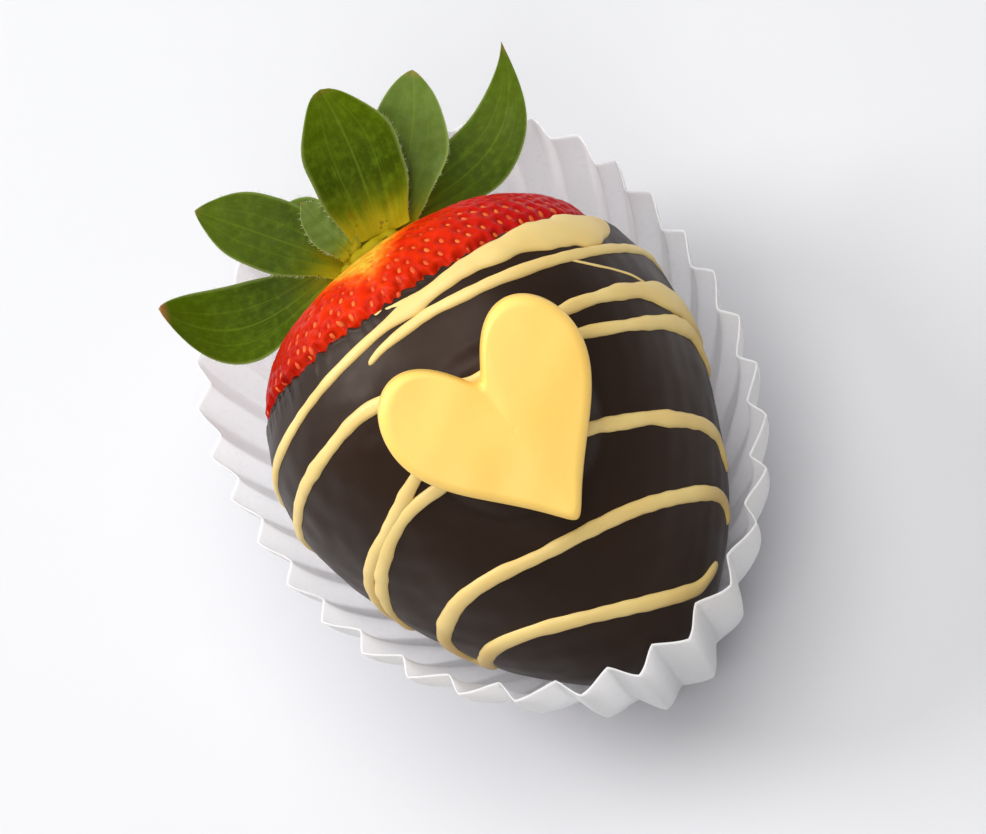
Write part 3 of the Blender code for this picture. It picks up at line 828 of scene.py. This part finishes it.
case = {
    "height": 20.1 * mm,
    "paper": 0.12 * mm,
    "corner": 0.9 * mm,
    "base": {"halfWidth": 15.5 * mm, "front": 23.5 * mm, "back": 20.5 * mm, "powers": (1.8, 2.2)},
    "rim": {"halfWidth": 24.7 * mm, "front": 31.8 * mm, "back": 31.9 * mm, "powers": (1.95, 2.8)},
    "flutes": 33,
    "firstFold": -0.09,  # the inner fold at the tip's end is that share of a flute to the left
    "depth": 1.68 * mm,
    "tipDepth": 0.3,  # how much deeper, as a share, the flutes are at the tip
    "lean": 0.22,  # how far the outer folds lean towards the back along the sides, as a share of a flute
    "leanGrows": (0.6, 3),  # between these counts of flutes from the tip
    "leanFades": (10, 14),
    "crest": 1.05,  # how far the folds are rounded: 0 is nearly a zigzag, and pi / 2 a round wave
    "uneven": 0.035,  # how far the folds stand out of place, as a share of a flute
    "bulge": 1.5,  # 1 is a straight wall, and more swells low down
    "tipBulge": 2.0,  # added where the berry's tip pushes the front out
    "tipReach": 8 * mm,
    "perFlute": 16,
    "wallRows": 46,
    "floorRows": 14,
}


def eggOutline(shape, parts):
    # points at those shares of the way round two half superellipses, counted from the tip's end,
    # and their outward normals
    turn = np.linspace(0, math.tau, 2881) - math.pi / 2
    ahead = np.sin(turn) < 0
    power = 2 / np.where(ahead, *shape["powers"])
    reach = np.where(ahead, shape["front"], shape["back"])
    x = shape["halfWidth"] * np.sign(np.cos(turn)) * np.abs(np.cos(turn)) ** power
    y = reach * np.sign(np.sin(turn)) * np.abs(np.sin(turn)) ** power
    run = np.concatenate([[0], np.cumsum(np.hypot(np.diff(x), np.diff(y)))])
    run = run / run[-1]

    def at(share):
        return np.stack([np.interp(share, run, x, period=1), np.interp(share, run, y, period=1)], axis=1)

    stride = 0.5 / case["flutes"]
    ahead = at(parts + stride) - at(parts - stride)
    return at(parts), unit(np.stack([ahead[:, 1], -ahead[:, 0]], axis=1))


def folds():
    # where each column stands round the outline, and its wave: -1 at the inner folds and 1 at the outer ones
    draw = np.random.default_rng(54)
    flutes = case["flutes"]
    shift = draw.normal(0, case["uneven"], flutes)
    shift[0] = case["firstFold"]
    step = np.arange(flutes * case["perFlute"]) / case["perFlute"]
    number, share = step.astype(int), step % 1
    fromTip = np.minimum(number + 0.5, flutes - number - 0.5)
    lean = case["lean"] * smooth(fromTip, *case["leanGrows"]) * (1 - smooth(fromTip, *case["leanFades"]))
    outerFold = 0.5 + np.where(number < flutes / 2, lean, -lean)
    leaning = np.where(share < 0.5, 2 * share * outerFold, outerFold + (2 * share - 1) * (1 - outerFold))
    moved = (1 - share) * shift[number] + share * shift[(number + 1) % flutes]
    wave = 1 - 2 * np.abs(2 * share - 1)
    return (number + leaning + moved) / flutes, np.sin(case["crest"] * wave) / math.sin(case["crest"])


def paperFinish():
    finish = newFinish("fluted paper", {
        "Roughness": 0.62, "Specular IOR Level": 0.25,
        "Subsurface Weight": 0.9, "Subsurface Scale": 1.4 * mm, "Subsurface Radius": (1.0, 0.95, 0.97),
    })
    white = mix(finish, noise(finish, 14 * mm, 2.0), paint("FBF5F7"), paint("F5F0F5"))
    fibres = span(finish, noise(finish, 0.5 * mm, 4.0), 0.5, 0.8, 0.0, 0.3)
    wire(finish, mix(finish, fibres, white, paint("E3DEE2")), "Base Color")
    wire(finish, bump(finish, noise(finish, 0.3 * mm, 3.0), 0.012 * mm), "Normal")
    return finish


def makeCase():
    parts, wave = folds()
    count = len(parts)
    base, _ = eggOutline(case["base"], parts)
    rim, normals = eggOutline(case["rim"], parts)
    wave = wave * (1 - 0.1 * np.abs(waviness(rim, 9 * mm, 52)))
    atTip = np.exp(-((rim[:, 0] / case["tipReach"]) ** 2)) * (rim[:, 1] < 0)
    deep = case["depth"] / 2 * (1 + case["tipDepth"] * atTip)

    def ring(level, inward):
        share = level / case["height"]
        swell = (1 - (1 - share) ** (case["bulge"] + case["tipBulge"] * atTip))[:, None]
        pleat = deep * min(1.0, 0.3 + 1.6 * share)
        low = 1 - min(level / case["corner"], 1)
        cut = inward + case["corner"] * (1 - math.sqrt(1 - low * low))
        flat = base + (rim - base) * swell + normals * (wave * pleat - cut)[:, None]
        dip = share**4 * (0.15 * mm * (1 + wave) + 0.2 * mm * np.clip(waviness(rim, 12 * mm, 53), 0, 1))
        return np.column_stack([flat, level - dip])

    def floorRing(share, level, inward):
        flat = base * share + normals * (wave * deep * 0.3 * share**8 - inward)[:, None]
        flat = flat - normals * case["corner"] * share**8
        return np.column_stack([flat, np.full(count, level)])

    paper = case["paper"]
    floorShares = np.linspace(0.05, 1, case["floorRows"])
    levels = case["height"] * np.linspace(0, 1, case["wallRows"]) ** 1.25
    rings = [floorRing(share, 0.0, 0.0) for share in floorShares[:-1]]
    rings += [ring(level, 0.0) for level in levels]
    rings += [ring(max(level, paper), paper) for level in levels[::-1] if level > 0.6 * paper]
    rings += [floorRing(share, paper, paper * share) for share in floorShares[:-1][::-1]]
    body = loft(np.array(rings), np.zeros(3), np.array([0.0, 0.0, paper]))
    return makePiece("fluted_case", [body], paperFinish(), ["paper_case"])


makeCase()


# The studio: a pale floor, soft lights, and the camera above the tip's end

studio = {
    "floorSize": 1.6,
    "floorLevel": -0.1 * mm,
    "world": 0.38,
    "lights": [
        # name, direction from the berry, distance, size, power
        ("keyLight", (-0.6, 0.55, 0.62), 0.62, 0.32, 2.6),
        ("topLight", (0.1, 0.15, 1.0), 0.8, 0.8, 5.0),
        ("frontLight", (-0.3, -0.55, 0.8), 0.9, 0.45, 2.1),
    ],
    "lookAt": (0.0, 0.0, 0.0195),
    "elevation": math.radians(59),
    "roll": math.radians(36),
    "distance": 0.79,
    "lens": 300,
}


def makeStudio():
    size = studio["floorSize"]
    mesh = bpy.data.meshes.new("studio_floor")
    corners = [(-size, -size), (size, -size), (size, size), (-size, size)]
    mesh.from_pydata([(x, y, studio["floorLevel"]) for x, y in corners], [], [(0, 1, 2, 3)])
    finish = newFinish("studio floor", {"Roughness": 0.8, "Specular IOR Level": 0.2})
    wire(finish, mix(finish, noise(finish, 0.4), paint("CACACC"), paint("C7C7C9")), "Base Color")
    mesh.materials.append(finish)
    floor = bpy.data.objects.new("studio_floor", mesh)
    bpy.context.scene.collection.objects.link(floor)
    target = np.array(studio["lookAt"])
    for name, direction, distance, width, power in studio["lights"]:
        lamp = bpy.data.lights.new(name, "AREA")
        lamp.shape = "DISK"
        lamp.size = width
        lamp.energy = power
        holder = bpy.data.objects.new(name, lamp)
        away = unit(np.array(direction))
        holder.matrix_world = facing(target + distance * away, away)
        bpy.context.scene.collection.objects.link(holder)
    world = bpy.data.worlds.new("studio")
    world.use_nodes = True
    backdrop = world.node_tree.nodes["Background"]
    backdrop.inputs["Color"].default_value = (0.97, 0.98, 1.0, 1.0)
    backdrop.inputs["Strength"].default_value = studio["world"]
    bpy.context.scene.world = world


def facing(where, away, roll=0.0):
    # a placement whose -Z looks back along away, with +Y of the world up in its picture, turned by roll
    up = unit(np.array([0.0, 1.0, 0.0]) - away[1] * away)
    right = np.cross(up, away)
    turnedRight = math.cos(roll) * right - math.sin(roll) * up
    turnedUp = math.sin(roll) * right + math.cos(roll) * up
    made = Matrix.Identity(4)
    for k in range(3):
        made[k][0], made[k][1], made[k][2], made[k][3] = turnedRight[k], turnedUp[k], away[k], where[k]
    return made


def makeCamera():
    lens = bpy.data.cameras.new("camera")
    lens.lens = studio["lens"]
    lens.sensor_width = 36
    lens.clip_start, lens.clip_end = 0.05, 10
    camera = bpy.data.objects.new("camera", lens)
    away = np.array([0.0, -math.cos(studio["elevation"]), math.sin(studio["elevation"])])
    where = np.array(studio["lookAt"]) + studio["distance"] * away
    camera.matrix_world = facing(where, away, studio["roll"])
    bpy.context.scene.collection.objects.link(camera)
    bpy.context.scene.camera = camera
    bpy.context.scene.view_settings.view_transform = "Standard"


makeStudio()
makeCamera()
print("studio ready")
